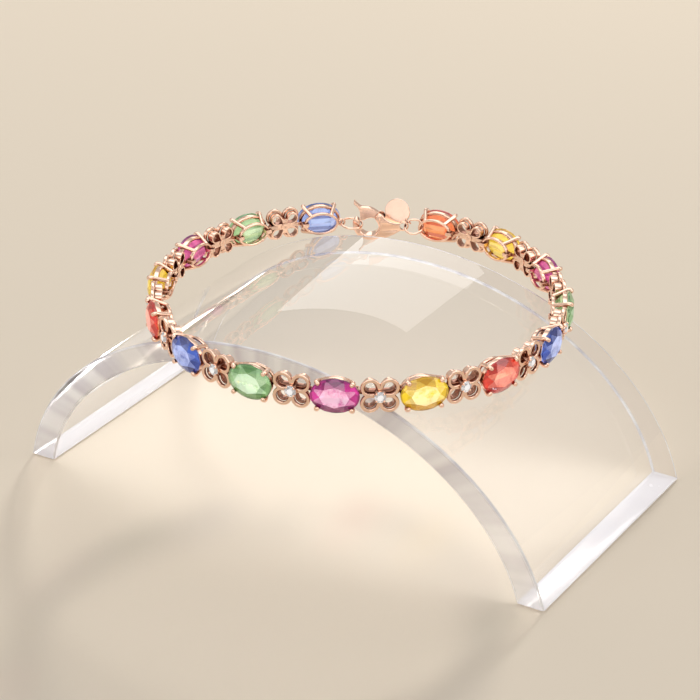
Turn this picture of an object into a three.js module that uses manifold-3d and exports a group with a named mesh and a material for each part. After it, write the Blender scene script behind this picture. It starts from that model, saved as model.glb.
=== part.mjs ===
// A gemstone bracelet lying on a clear display arch. Millimetres, +Z up.
// +X runs across the arch's span, +Y along its depth, away from the front edge.
import * as THREE from 'three';
import { mergeVertices } from 'three/addons/utils/BufferGeometryUtils.js';
import Module from 'manifold-3d';

const wasm = await Module();
wasm.setup();

// display arch: an elliptical band of clear sheet, cut flat at its feet
const archHeight = 27.6;
const archHalfWidth = 43.4;
const archRise = 32.9;
const archDepth = 40;
const sheetThickness = 3;
const footThickness = 4;
const archSteps = 28;

// the closed bracelet: a circle of settings and links round its hinge line
const ringRadius = 28.5;
const ringCentreX = 1.55;
const ringCentreY = 1.56;
const ringCentreZ = 26.5;
const ringTiltAboutX = -1.85;
const ringTiltAboutY = 2.1;
const colours = ['blue', 'green', 'pink', 'yellow', 'orange'];
const roundsOfColours = 3;
const stoneStepDegrees = 23.1;
const firstStoneDegrees = 134.5;

// oval stone, measured from the hinge line: girdle half sizes and levels
const stoneHalfLength = 3.27;
const stoneHalfHeight = 2.47;
const girdleLevel = 0.75;
const girdleThickness = 0.12;
const tableLevel = 1.5;
const tableShare = 0.6;
const culetLevel = -1.25;
const stoneSides = 12;

// open setting: two rails and four claw prongs
const railSides = 12;
const baseRail = { halfLength: 2.62, halfHeight: 1.76, low: -1.65, high: -1.1, wall: 0.36 };
const upperRail = { halfLength: 3.12, halfHeight: 2.36, low: -0.1, high: 0.6 };
const seatClearance = 0.075;
const clawAngle = 39.6;
const claw = { width: 0.6, reach: 0.42, footOut: 0.08, shoulderOut: 0.46, tipOut: 0.2, noseIn: 0.1 };
const endEye = { radius: 0.46, wire: 0.15, beyondRail: 0.49, steps: 12 };
const clawLevels = { seat: -0.05, girdle: 0.06, shoulder: 0.1, nose: 0.36, top: 1.45 };

// flower link: four round petals about a collet with an open well for its small stone
const petalRadius = 1.32;
const petalOffsetX = 1.26;
const petalOffsetY = 1.11;
const petalWall = 0.47;
const petalTip = { x: 0.16, y: 0.34 };
const petalSteps = 5;
// the thin flower in front, and the smaller gallery behind it
const petalLayers = [
  { low: 0.12, high: 0.62, drawIn: 0, closeIn: 0 },
  { low: -0.95, high: 0.2, drawIn: 0.44, closeIn: 0.34 },
];
const collet = { back: -1.05, floor: -0.75, front: 1.0, backRadius: 0.6, frontRadius: 0.84, bore: 0.36, sides: 8 };

// hinge eyes that loop round the neighbouring settings' base rails
const eyeClearance = 0.13;
const eyeWall = 0.24;
const eyeHeight = 0.56;
const webOverlap = 0.3;
const webLow = -0.95;
const webHigh = -0.6;

const quarter = Math.PI / 2;

// lobster clasp, in its own frame: +x towards the hook, +y up, +z outward
const claspShift = -0.15;
const claspDepthIn = -1.75;
const claspTopRows = [
  { x: -4.4, half: 0.22 },
  { x: -3.1, half: 0.26 },
  { x: -2.2, half: 0.7 },
  { x: -1.2, half: 0.95 },
  { x: 1.0, half: 1.0 },
  { x: 2.4, half: 0.8 },
  { x: 2.9, half: 0.58 },
  { x: 4.1, half: 0.5 },
];
const claspCurveSteps = 6;
const neck = { x: -3.62, radius: 0.79, hole: 0.57, halfThickness: 0.2, halfHeight: 0.5 };
const pivot = { x: -0.1, y: 1.25, knuckle: 0.72, pinRadius: 0.2, pinHalfLength: 0.8, pinClearance: 0.09 };
const claspOpening = { x: 1.5, y: -0.05, radius: 1.48 };
const hookTip = { x: 3.47, y: 0.42, radius: 0.5 };
const claspBelly = { x: 1.45, y: 0.08, radius: 2.52 };
const slot = { left: -0.85, right: 2.35, floor: 0.4, ceiling: 3.4, halfWidth: 0.5 };
const lever = { halfWidth: 0.42, heel: 0.47 };
const leverTip = { left: 2.3, right: 2.86, low: 0.7, high: 1.05 };
const thumbTab = { underX: 2.94, underY: 1.9, endX: 3.9, endLow: 3.15, endHigh: 3.75, topX: 1.7, topY: 2.8 };
const claspShoulder = { x: -2.6, pullX: -1.6, pullY: 0.75, meetsY: 1.45 };
const claspInnerPull = { x: 0.1, y: 0.6 };
const claspUnderPull = { x: -1.2, y: -1.95 };
const leverUnderPull = { x: 1.4, y: 1.55 };
const leverTopPull = { x: 0.7, y: 2.6 };

// jump rings at each end of the clasp, tilts in degrees
const claspRing = { radius: 1.58, wire: 0.17, x: 4.02, y: -0.1, z: -1.75, tiltX: 84, tiltY: -4, tiltZ: 4 };
const tagRing = { radius: 1.34, wire: 0.16, x: -5.35, y: 0, z: -1.8, tiltX: 60, tiltY: -6, tiltZ: 0 };
const ringSteps = 20;
const wireSides = 6;

// the tag hangs by its bail from a point round the tag ring
const tag = { halfLength: 2.05, halfHeight: 1.85, thickness: 0.3, tiltX: 20, tiltY: -30, tiltZ: 30 };
const tagRingDegrees = 45;
const bail = { radius: 0.46, wire: 0.12, beyondEdge: 0.28, steps: 12 };

const gold = { color: 0xd99a7c, roughness: 0.15, metalness: 1 };
const clearSheet = { color: 0xe9ecf2, roughness: 0.05, metalness: 0, transparent: true, opacity: 0.35 };
const stoneColours = { blue: 0x2244a8, green: 0x6fb36a, pink: 0xc2187c, yellow: 0xf2c21a, orange: 0xe2461c };

function material(name, values) {
  const made = new THREE.MeshStandardMaterial(values);
  made.name = name;
  return made;
}

// the sum is negative where the faces point inward
function signedVolume(geometry) {
  const place = geometry.attributes.position;
  const indices = geometry.index.array;
  const [a, b, c] = [new THREE.Vector3(), new THREE.Vector3(), new THREE.Vector3()];
  let sum = 0;
  for (let i = 0; i < indices.length; i += 3) {
    a.fromBufferAttribute(place, indices[i]);
    b.fromBufferAttribute(place, indices[i + 1]);
    c.fromBufferAttribute(place, indices[i + 2]);
    sum += a.dot(b.cross(c)) / 6;
  }
  return sum;
}

function weld(geometry) {
  const bare = geometry.clone();
  bare.deleteAttribute('normal');
  bare.deleteAttribute('uv');
  const welded = mergeVertices(bare);
  const indices = welded.index.array;
  const kept = [];
  for (let i = 0; i < indices.length; i += 3) {
    const [a, b, c] = [indices[i], indices[i + 1], indices[i + 2]];
    if (a !== b && b !== c && c !== a) kept.push(a, b, c);
  }
  welded.setIndex(kept);
  if (signedVolume(welded) < 0) welded.setIndex(kept.reverse());
  return welded;
}

function toSolid(geometry) {
  const welded = weld(geometry);
  const vertProperties = new Float32Array(welded.attributes.position.array);
  const triVerts = new Uint32Array(welded.index.array);
  return new wasm.Manifold(new wasm.Mesh({ numProp: 3, vertProperties, triVerts }));
}

function toGeometry(solid) {
  const mesh = solid.getMesh();
  const geometry = new THREE.BufferGeometry();
  geometry.setAttribute('position', new THREE.BufferAttribute(mesh.vertProperties, 3));
  geometry.setIndex(new THREE.BufferAttribute(mesh.triVerts, 1));
  geometry.computeVertexNormals();
  return geometry;
}

function joined(geometries) {
  return toGeometry(geometries.map(toSolid).reduce((whole, next) => whole.add(next)));
}

function shapeFrom(points) {
  return new THREE.Shape(points.map(([x, y]) => new THREE.Vector2(x, y)));
}

function slab(shape, low, high, curveSegments = 8) {
  const settings = { depth: high - low, bevelEnabled: false, curveSegments };
  return new THREE.ExtrudeGeometry(shape, settings).translate(0, 0, low);
}

// a closed ring of oval outline, turned from its section and squeezed to the oval, flat at its ends
function ovalRing(section, halfLength, halfHeight, sides) {
  const closed = [...section, section[0]].map(([share, level]) => new THREE.Vector2(share, level));
  const ring = new THREE.LatheGeometry(closed, sides, Math.PI / sides);
  const toFlats = 1 / Math.cos(Math.PI / sides);
  return ring.rotateX(Math.PI / 2).scale(halfLength * toFlats, halfHeight * toFlats, 1);
}

function turned(profile, sides) {
  const points = profile.map(([radius, level]) => new THREE.Vector2(radius, level));
  return new THREE.LatheGeometry(points, sides).rotateX(Math.PI / 2);
}

function makeArch() {
  const centreZ = archHeight - archRise;
  const outerStart = Math.asin(-centreZ / archRise);
  const innerRise = archRise - sheetThickness;
  const innerStart = Math.asin(-centreZ / innerRise);
  const outline = new THREE.Shape();
  outline.absellipse(0, centreZ, archHalfWidth, archRise, outerStart, Math.PI - outerStart, false);
  const innerWidth = archHalfWidth - footThickness;
  outline.absellipse(0, centreZ, innerWidth, innerRise, Math.PI - innerStart, innerStart, true);
  const sheet = slab(outline, -archDepth / 2, archDepth / 2, archSteps);
  return weld(sheet.rotateX(Math.PI / 2));
}

function makeStone() {
  const profile = [
    [0, culetLevel],
    [1, girdleLevel],
    [1, girdleLevel + girdleThickness],
    [tableShare, tableLevel],
    [0, tableLevel],
  ];
  return weld(turned(profile, stoneSides).scale(stoneHalfLength, stoneHalfHeight, 1));
}

// the radius of an oval in the direction of the claws
function ovalReach(halfLength, halfHeight, degrees) {
  const angle = THREE.MathUtils.degToRad(degrees);
  return 1 / Math.hypot(Math.cos(angle) / halfLength, Math.sin(angle) / halfHeight);
}

function makeClaw() {
  const girdle = ovalReach(stoneHalfLength, stoneHalfHeight, clawAngle) + seatClearance;
  const foot = ovalReach(baseRail.halfLength, baseRail.halfHeight, clawAngle);
  const edge = girdleLevel + girdleThickness;
  const outline = shapeFrom([
    [foot - claw.reach, baseRail.low],
    [foot + claw.footOut, baseRail.low],
    [girdle + claw.shoulderOut, edge + clawLevels.shoulder],
    [girdle + claw.tipOut, clawLevels.top],
    [girdle - claw.reach - claw.noseIn, clawLevels.top],
    [girdle - claw.reach, edge + clawLevels.nose],
    [girdle, edge + clawLevels.girdle],
    [girdle, girdleLevel + clawLevels.seat],
  ]);
  return slab(outline, -claw.width / 2, claw.width / 2).rotateX(Math.PI / 2);
}

// the first setting carries a small round eye on its rail's end, for the clasp ring
function makeEndEye() {
  const eye = new THREE.TorusGeometry(endEye.radius, endEye.wire, wireSides, endEye.steps);
  return eye.translate(-baseRail.halfLength - endEye.beyondRail, 0, (baseRail.low + baseRail.high) / 2);
}

function makeSetting() {
  const baseInner = 1 - baseRail.wall / baseRail.halfLength;
  const base = ovalRing([
    [baseInner, baseRail.low],
    [1, baseRail.low],
    [1, baseRail.high],
    [baseInner, baseRail.high],
  ], baseRail.halfLength, baseRail.halfHeight, railSides);
  const pavilionDrop = girdleLevel - culetLevel;
  const shareAt = (level) => 1 - (girdleLevel - level) / pavilionDrop + seatClearance;
  const seat = ovalRing([
    [shareAt(upperRail.low), upperRail.low],
    [1, upperRail.low],
    [1, upperRail.high],
    [shareAt(upperRail.high), upperRail.high],
  ], upperRail.halfLength, upperRail.halfHeight, railSides);
  const claws = [clawAngle, 180 - clawAngle, 180 + clawAngle, 360 - clawAngle];
  const turnedClaws = claws.map((degrees) => makeClaw().rotateZ(THREE.MathUtils.degToRad(degrees)));
  return joined([base, seat, ...turnedClaws]);
}

const corners = [[1, 1], [-1, 1], [-1, -1], [1, -1]];

// one petal opening: a round end and straight sides that run in to a tip by the collet
function petalOpening(signX, signY, closeIn) {
  const centre = { x: petalOffsetX, y: petalOffsetY };
  const radius = petalRadius - petalWall - closeIn;
  const toTip = Math.hypot(centre.x - petalTip.x, centre.y - petalTip.y) - closeIn;
  const heading = Math.atan2(petalTip.y - centre.y, petalTip.x - centre.x);
  const half = Math.acos(radius / toTip);
  const opening = new THREE.Path();
  const at = (angle) => [
    signX * (centre.x + radius * Math.cos(angle)),
    signY * (centre.y + radius * Math.sin(angle)),
  ];
  const sweep = 2 * Math.PI - 2 * half;
  const tipX = centre.x + toTip * Math.cos(heading);
  const tipY = centre.y + toTip * Math.sin(heading);
  const points = [[signX * tipX, signY * tipY]];
  for (let step = 0; step <= petalSteps + 1; step += 1) {
    points.push(at(heading + half + (sweep * step) / (petalSteps + 1)));
  }
  opening.setFromPoints(points.map(([x, y]) => new THREE.Vector2(x, y)));
  return opening;
}

// the outline runs round the outside of the four petals from notch to notch
function petalOutline(drawIn) {
  const radius = petalRadius - drawIn;
  const reachX = Math.sqrt(Math.max(radius ** 2 - petalOffsetY ** 2, 0));
  const reachY = Math.sqrt(Math.max(radius ** 2 - petalOffsetX ** 2, 0));
  const sideNotch = Math.atan2(-petalOffsetY, reachX);
  const topNotch = Math.PI - Math.atan2(reachY, petalOffsetX);
  const points = [];
  for (const [signX, signY] of corners) {
    const forward = signX === signY;
    const last = drawIn > 0 ? petalSteps : petalSteps - 1;
    for (let step = 0; step <= last; step += 1) {
      const share = step / petalSteps;
      const angle = sideNotch + (topNotch - sideNotch) * (forward ? share : 1 - share);
      const x = petalOffsetX + radius * Math.cos(angle);
      const y = petalOffsetY + radius * Math.sin(angle);
      points.push([signX * x, signY * y]);
    }
  }
  return shapeFrom(points);
}

// a squared eye round a neighbour's base rail, with a web back to the petals
function makeEye(side) {
  const bend = THREE.MathUtils.degToRad(stoneStepDegrees / 2);
  const railMiddle = baseRail.halfLength - baseRail.wall / 2;
  const railLevel = (baseRail.low + baseRail.high) / 2;
  const x = ringRadius * Math.sin(bend) - railMiddle * Math.cos(bend) + railLevel * Math.sin(bend);
  const z = ringRadius * (Math.cos(bend) - 1) + railMiddle * Math.sin(bend) + railLevel * Math.cos(bend);
  const halfX = baseRail.wall / 2 + eyeClearance;
  const halfZ = (baseRail.high - baseRail.low) / 2 + eyeClearance;
  const rim = eyeWall;
  const corner = eyeWall * 0.6;
  const outline = shapeFrom([
    [-halfX - rim, -halfZ - rim + corner],
    [-halfX - rim + corner, -halfZ - rim],
    [halfX + rim - corner, -halfZ - rim],
    [halfX + rim, -halfZ - rim + corner],
    [halfX + rim, halfZ + rim - corner],
    [halfX + rim - corner, halfZ + rim],
    [-halfX - rim, halfZ + rim],
  ]);
  const hole = shapeFrom([[-halfX, -halfZ], [halfX, -halfZ], [halfX, halfZ], [-halfX, halfZ]]);
  outline.holes.push(hole);
  const eye = slab(outline, -eyeHeight / 2, eyeHeight / 2).rotateX(Math.PI / 2);
  eye.scale(1, 1, -1).rotateY(bend).translate(x, 0, z);
  const webStart = petalOffsetX - webOverlap;
  const webEnd = x - halfX - rim / 2;
  const web = new THREE.BoxGeometry(webEnd - webStart, eyeHeight, webHigh - webLow);
  web.translate((webStart + webEnd) / 2, 0, (webLow + webHigh) / 2);
  return [eye, web].map((piece) => (side < 0 ? piece.scale(-1, 1, 1) : piece));
}

function makeFlowerLink() {
  const petals = petalLayers.map(({ low, high, drawIn, closeIn }) => {
    const outline = petalOutline(drawIn);
    outline.holes = corners.map(([signX, signY]) => petalOpening(signX, signY, closeIn));
    return slab(outline, low, high);
  });
  const cup = turned([
    [0, collet.back],
    [collet.backRadius, collet.back],
    [collet.frontRadius, collet.front],
    [0, collet.front],
  ], collet.sides);
  const past = 1;
  const well = turned([
    [0, collet.floor],
    [collet.bore, collet.floor],
    [collet.bore, collet.front + past],
    [0, collet.front + past],
  ], collet.sides);
  const whole = toSolid(joined([...petals, cup, ...makeEye(1), ...makeEye(-1)]));
  return toGeometry(whole.subtract(toSolid(well)));
}

function discAlongZ(x, y, radius, halfLength, sides) {
  const disc = new THREE.CylinderGeometry(radius, radius, 2 * halfLength, sides);
  return disc.rotateX(Math.PI / 2).translate(x, y, 0);
}

// neck, knuckle, opening, hook and belly in one closed outline, seen from the front
function claspOutline() {
  const outline = new THREE.Shape();
  const { x: openX, y: openY, radius: openRadius } = claspOpening;
  outline.moveTo(neck.x, neck.halfHeight);
  outline.lineTo(claspShoulder.x, neck.halfHeight);
  const knuckleLeft = pivot.x - pivot.knuckle;
  outline.quadraticCurveTo(claspShoulder.pullX, claspShoulder.pullY, knuckleLeft, claspShoulder.meetsY);
  outline.absarc(pivot.x, pivot.y, pivot.knuckle, 1.8 * quarter, -0.1 * quarter, true);
  outline.quadraticCurveTo(claspInnerPull.x, claspInnerPull.y, openX - openRadius, openY);
  outline.absarc(openX, openY, openRadius, 2 * quarter, 4.1 * quarter, false);
  outline.absarc(hookTip.x, hookTip.y, hookTip.radius, 1.8 * quarter, 0, true);
  outline.absarc(claspBelly.x, claspBelly.y, claspBelly.radius, 0, -1.15 * quarter, true);
  outline.quadraticCurveTo(claspUnderPull.x, claspUnderPull.y, neck.x, -neck.halfHeight);
  return outline;
}

function claspFromAbove() {
  const near = claspTopRows.map(({ x, half }) => [x, -half]);
  const far = claspTopRows.map(({ x, half }) => [x, half]).reverse();
  return shapeFrom([...near, ...far]);
}

function makeClaspBody() {
  const reach = 5;
  const front = toSolid(slab(claspOutline(), -reach, reach, claspCurveSteps));
  const above = toSolid(slab(claspFromAbove(), -reach, reach).rotateX(-Math.PI / 2));
  const eye = toSolid(discAlongZ(neck.x, 0, neck.radius, neck.halfThickness, 12));
  const eyeHole = toSolid(discAlongZ(neck.x, 0, neck.hole, reach, 12));
  const gap = new THREE.BoxGeometry(slot.right - slot.left, slot.ceiling - slot.floor, 2 * slot.halfWidth);
  gap.translate((slot.left + slot.right) / 2, (slot.floor + slot.ceiling) / 2, 0);
  const pin = toSolid(discAlongZ(pivot.x, pivot.y, pivot.pinRadius, pivot.pinHalfLength, 10));
  const cut = front.intersect(above).add(eye).subtract(eyeHole).subtract(toSolid(gap));
  return toGeometry(cut.add(pin));
}

// round heel on the pin, a bar arched over the opening, a tip inside the hook and a thumb tab over it
function leverOutline() {
  const outline = new THREE.Shape();
  outline.absarc(pivot.x, pivot.y, lever.heel, 1.1 * quarter, 2.9 * quarter, false);
  outline.quadraticCurveTo(leverUnderPull.x, leverUnderPull.y, leverTip.left, leverTip.low);
  outline.lineTo(leverTip.right, leverTip.low);
  outline.lineTo(leverTip.right, leverTip.high);
  outline.lineTo(thumbTab.underX, thumbTab.underY);
  outline.lineTo(thumbTab.endX, thumbTab.endLow);
  outline.lineTo(thumbTab.endX, thumbTab.endHigh);
  outline.lineTo(thumbTab.underX, thumbTab.topY);
  outline.lineTo(thumbTab.topX, thumbTab.topY);
  outline.quadraticCurveTo(leverTopPull.x, leverTopPull.y, pivot.x, pivot.y + lever.heel);
  return outline;
}

function makeClaspLever() {
  const bar = toSolid(slab(leverOutline(), -lever.halfWidth, lever.halfWidth, claspCurveSteps));
  const bore = discAlongZ(pivot.x, pivot.y, pivot.pinRadius + pivot.pinClearance, 2, 10);
  return toGeometry(bar.subtract(toSolid(bore)));
}

function makeRing({ radius, wire }) {
  return weld(new THREE.TorusGeometry(radius, wire, wireSides, ringSteps));
}

// an oval plate with a bail soldered to its end; the bail's middle is the tag's own origin
function makeTag() {
  const outline = new THREE.Shape();
  const centreX = tag.halfLength + bail.beyondEdge;
  outline.absellipse(centreX, 0, tag.halfLength, tag.halfHeight, 0, 2 * Math.PI, false);
  const plate = slab(outline, -tag.thickness / 2, tag.thickness / 2, 12);
  const loop = new THREE.TorusGeometry(bail.radius, bail.wire, wireSides, bail.steps).rotateX(Math.PI / 2);
  return joined([plate, loop]);
}

function named(name, geometry, look) {
  const mesh = new THREE.Mesh(geometry, material(`${name}_finish`, look));
  mesh.name = name;
  return mesh;
}

// local +x runs along the chain, anticlockwise from above, +y is up and +z faces outward
function onCircle(piece, degrees) {
  const angle = THREE.MathUtils.degToRad(degrees);
  piece.position.set(ringRadius * Math.cos(angle), ringRadius * Math.sin(angle), 0);
  piece.rotation.set(Math.PI / 2, 0, angle + Math.PI / 2, 'ZYX');
  return piece;
}

function tilted(piece, { x, y, z, tiltX, tiltY, tiltZ }) {
  const [aboutX, aboutY, aboutZ] = [tiltX, tiltY, tiltZ].map(THREE.MathUtils.degToRad);
  piece.position.set(x, y, z);
  piece.rotation.set(aboutX, aboutY, aboutZ, 'ZYX');
  return piece;
}

// where the tag's bail holds the tag ring's wire
function bailPlace() {
  const round = THREE.MathUtils.degToRad(tagRingDegrees);
  const lean = THREE.MathUtils.degToRad(tagRing.tiltX);
  return {
    x: tagRing.x + tagRing.radius * Math.cos(round),
    y: tagRing.y + tagRing.radius * Math.sin(round) * Math.cos(lean),
    z: tagRing.z + tagRing.radius * Math.sin(round) * Math.sin(lean),
  };
}

function addStones(ring) {
  const stone = makeStone();
  const setting = makeSetting();
  const count = colours.length * roundsOfColours;
  const firstSetting = joined([setting, makeEndEye()]);
  for (let place = 0; place < count; place += 1) {
    const colour = colours[place % colours.length];
    const round = Math.floor(place / colours.length) + 1;
    const degrees = firstStoneDegrees + place * stoneStepDegrees;
    const look = { color: stoneColours[colour], roughness: 0.05, metalness: 0 };
    const held = place === 0 ? firstSetting : setting;
    ring.add(onCircle(named(`setting_${colour}_${round}`, held, gold), degrees));
    ring.add(onCircle(named(`stone_${colour}_${round}`, stone, look), degrees));
  }
}

function addFlowerLinks(ring) {
  const link = makeFlowerLink();
  const count = colours.length * roundsOfColours - 1;
  for (let place = 0; place < count; place += 1) {
    const degrees = firstStoneDegrees + (place + 0.5) * stoneStepDegrees;
    const number = String(place + 1).padStart(2, '0');
    ring.add(onCircle(named(`flower_link_${number}`, link, gold), degrees));
  }
}

function addClasp(ring) {
  const spare = 360 - (colours.length * roundsOfColours - 1) * stoneStepDegrees;
  const clasp = onCircle(new THREE.Group(), firstStoneDegrees - spare / 2);
  const body = named('clasp_body', makeClaspBody(), gold);
  const gate = named('clasp_lever', makeClaspLever(), gold);
  for (const piece of [body, gate]) piece.position.set(claspShift, 0, claspDepthIn);
  const hookRing = tilted(named('clasp_ring', makeRing(claspRing), gold), claspRing);
  const endRing = tilted(named('tag_ring', makeRing(tagRing), gold), tagRing);
  const plate = tilted(named('tag', makeTag(), gold), { ...tag, ...bailPlace() });
  clasp.add(body, gate, hookRing, endRing, plate);
  ring.add(clasp);
}

const ring = new THREE.Group();
ring.position.set(ringCentreX, ringCentreY, ringCentreZ);
ring.rotation.set(THREE.MathUtils.degToRad(ringTiltAboutX), THREE.MathUtils.degToRad(ringTiltAboutY), 0);
addStones(ring);
addFlowerLinks(ring);
addClasp(ring);

const bracelet = new THREE.Group();
bracelet.add(ring, named('display_arch', makeArch(), clearSheet));

// the origin is under the middle of the whole object's box
const box = new THREE.Box3().setFromObject(bracelet, true);
bracelet.position.set(-(box.min.x + box.max.x) / 2, -(box.min.y + box.max.y) / 2, -box.min.z);

export default bracelet;
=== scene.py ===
import math
import random
from functools import partial

import bmesh
import bpy
from mathutils import Euler, Matrix, Vector


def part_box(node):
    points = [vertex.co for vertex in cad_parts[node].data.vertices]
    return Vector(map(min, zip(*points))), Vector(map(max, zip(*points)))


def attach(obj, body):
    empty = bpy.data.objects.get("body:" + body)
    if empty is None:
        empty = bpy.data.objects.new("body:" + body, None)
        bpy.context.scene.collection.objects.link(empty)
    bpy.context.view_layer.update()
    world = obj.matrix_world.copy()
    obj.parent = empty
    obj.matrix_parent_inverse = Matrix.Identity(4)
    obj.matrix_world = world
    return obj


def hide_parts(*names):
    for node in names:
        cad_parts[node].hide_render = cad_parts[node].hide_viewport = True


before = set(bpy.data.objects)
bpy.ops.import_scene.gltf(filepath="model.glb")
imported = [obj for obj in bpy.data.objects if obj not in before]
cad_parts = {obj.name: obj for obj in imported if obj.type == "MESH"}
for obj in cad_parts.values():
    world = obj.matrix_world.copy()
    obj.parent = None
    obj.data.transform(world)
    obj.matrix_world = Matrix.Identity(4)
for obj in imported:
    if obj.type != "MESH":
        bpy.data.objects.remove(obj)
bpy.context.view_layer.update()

mm = 0.001
braceletBody = "bracelet_and_stand"
leverBody = "lever"
archLow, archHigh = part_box("display_arch")
archFoot = Vector(((archLow.x + archHigh.x) / 2, (archLow.y + archHigh.y) / 2, archLow.z))

view = {
    "turn": 33.45,  # degrees to the right of straight in front
    "lookDown": 26.97,
    "roll": 1.96,
    "lens": 126.0,
    "place": (0.171, -0.2577, 0.1763),  # from under the stand's middle, metres
}


def addCamera(cfg):
    turn, down, roll = [math.radians(cfg[key]) for key in ("turn", "lookDown", "roll")]
    ahead = Vector((-math.sin(turn) * math.cos(down), math.cos(turn) * math.cos(down), -math.sin(down)))
    level = Vector((math.cos(turn), math.sin(turn), 0))
    above = level.cross(ahead)
    right = level * math.cos(roll) - above * math.sin(roll)
    up = above * math.cos(roll) + level * math.sin(roll)
    data = bpy.data.cameras.new("camera")
    data.lens = cfg["lens"]
    data.sensor_width = 36
    data.clip_start = 0.01
    camera = bpy.data.objects.new("camera", data)
    bpy.context.scene.collection.objects.link(camera)
    spot = archFoot + Vector(cfg["place"])
    camera.matrix_world = Matrix.Translation(spot) @ Matrix((right, up, -ahead)).transposed().to_4x4()
    bpy.context.scene.camera = camera


addCamera(view)
print("camera set")


# small makers shared by the pieces, all in millimetres until a piece is seated
farOut = 3  # past the end of any piece, for cutters


def pulled(start, pull, end, t):
    # a point on the curve from start to end that a third point pulls aside
    return start * (1 - t) ** 2 + pull * 2 * t * (1 - t) + end * t * t


def roundCorners(points, radius, steps=3):
    # trades each corner of a closed outline for a short curve
    rounded = []
    for i, here in enumerate(points):
        here = Vector(here)
        before, after = Vector(points[i - 1]), Vector(points[(i + 1) % len(points)])
        start = here + (before - here).normalized() * min(radius, (before - here).length / 2)
        end = here + (after - here).normalized() * min(radius, (after - here).length / 2)
        for step in range(steps + 1):
            rounded.append(pulled(start, here, end, step / steps))
    return rounded


def rectangle(left, low, right, high):
    return [(left, low), (right, low), (right, high), (left, high)]


def skinRings(bm, rings, closed):
    # quads between neighbouring rings of vertices
    pairs = list(zip(rings, rings[1:]))
    if closed:
        pairs.append((rings[-1], rings[0]))
    for a, b in pairs:
        for i in range(len(a)):
            j = (i + 1) % len(a)
            bm.faces.new((a[i], a[j], b[j], b[i]))


def anglesRound(steps):
    return [2 * math.pi * step / steps for step in range(steps)]


def wireMesh(points, radii, sides=12, closed=False):
    # round wire along a path, with domed ends when it is open
    bm = bmesh.new()
    points = [Vector(p) for p in points]
    if not closed:
        points, radii = domeEnds(points, radii)
    count = len(points)
    normal = None
    rings = []
    for i, here in enumerate(points):
        before = points[i - 1] if closed or i > 0 else here
        after = points[(i + 1) % count] if closed or i < count - 1 else here
        along = (after - before).normalized()
        if normal is None:
            normal = along.orthogonal().normalized()
        normal = (normal - along * normal.dot(along)).normalized()
        across = along.cross(normal)
        ring = []
        for a in anglesRound(sides):
            ring.append(bm.verts.new(here + (normal * math.cos(a) + across * math.sin(a)) * radii[i]))
        rings.append(ring)
    if closed:
        twistClosed(bm, rings)
    else:
        skinRings(bm, rings, False)
        bm.faces.new(list(reversed(rings[0])))
        bm.faces.new(rings[-1])
    return meshFrom(bm)


def joinLength(first, last, shift):
    return sum((vertex.co - first[(i + shift) % len(first)].co).length for i, vertex in enumerate(last))


def twistClosed(bm, rings):
    # joins the last ring to the first at the offset that twists least
    first, last = rings[0], rings[-1]
    sides = len(first)
    skinRings(bm, rings, False)
    shift = min(range(sides), key=partial(joinLength, first, last))
    for i in range(sides):
        j = (i + 1) % sides
        bm.faces.new((last[i], last[j], first[(j + shift) % sides], first[(i + shift) % sides]))


def domeEnds(points, radii, steps=4):
    flatTip = 0.35  # share of a step left flat at each end
    first, last = [], []
    firstRadii, lastRadii = [], []
    out = (points[0] - points[1]).normalized()
    end = (points[-1] - points[-2]).normalized()
    for step in range(steps, 0, -1):
        a = math.pi / 2 * step / (steps + flatTip)
        first.append(points[0] + out * radii[0] * math.sin(a))
        firstRadii.append(radii[0] * math.cos(a))
    for step in range(1, steps + 1):
        a = math.pi / 2 * step / (steps + flatTip)
        last.append(points[-1] + end * radii[-1] * math.sin(a))
        lastRadii.append(radii[-1] * math.cos(a))
    return first + list(points) + last, firstRadii + list(radii) + lastRadii


def circle(radius, steps, plane="XY"):
    if plane == "XY":
        return [(radius * math.cos(a), radius * math.sin(a), 0) for a in anglesRound(steps)]
    return [(radius * math.cos(a), 0, radius * math.sin(a)) for a in anglesRound(steps)]


def ringMesh(path, wire, sides=12):
    return wireMesh(path, [wire] * len(path), sides, closed=True)


def rodMesh(start, end, radius, sides):
    return wireMesh([start, end], [radius] * 2, sides)


def turnedMesh(profile, steps=40):
    # a closed profile of (radius, level) turned round the z axis
    bm = bmesh.new()
    rings = []
    for a in anglesRound(steps):
        rings.append([bm.verts.new((r * math.cos(a), r * math.sin(a), z)) for r, z in profile])
    skinRings(bm, rings, True)
    return meshFrom(bm)


def ovalRailMesh(halfLength, halfHeight, section, steps=88):
    # a section of (offset, level) carried round an oval at its true distance from it
    bm = bmesh.new()
    rings = []
    for a in anglesRound(steps):
        spot = Vector((halfLength * math.cos(a), halfHeight * math.sin(a), 0))
        out = Vector((halfHeight * math.cos(a), halfLength * math.sin(a), 0)).normalized()
        ring = []
        for offset, level in section:
            ring.append(bm.verts.new(spot + out * offset + Vector((0, 0, level))))
        rings.append(ring)
    skinRings(bm, rings, True)
    return meshFrom(bm)


def meshFrom(bm):
    bmesh.ops.remove_doubles(bm, verts=bm.verts, dist=1e-5)
    bmesh.ops.recalc_face_normals(bm, faces=bm.faces)
    mesh = bpy.data.meshes.new("draft")
    bm.to_mesh(mesh)
    bm.free()
    return mesh


def newObject(name, data):
    made = bpy.data.objects.new(name, data)
    bpy.context.scene.collection.objects.link(made)
    return made


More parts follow.
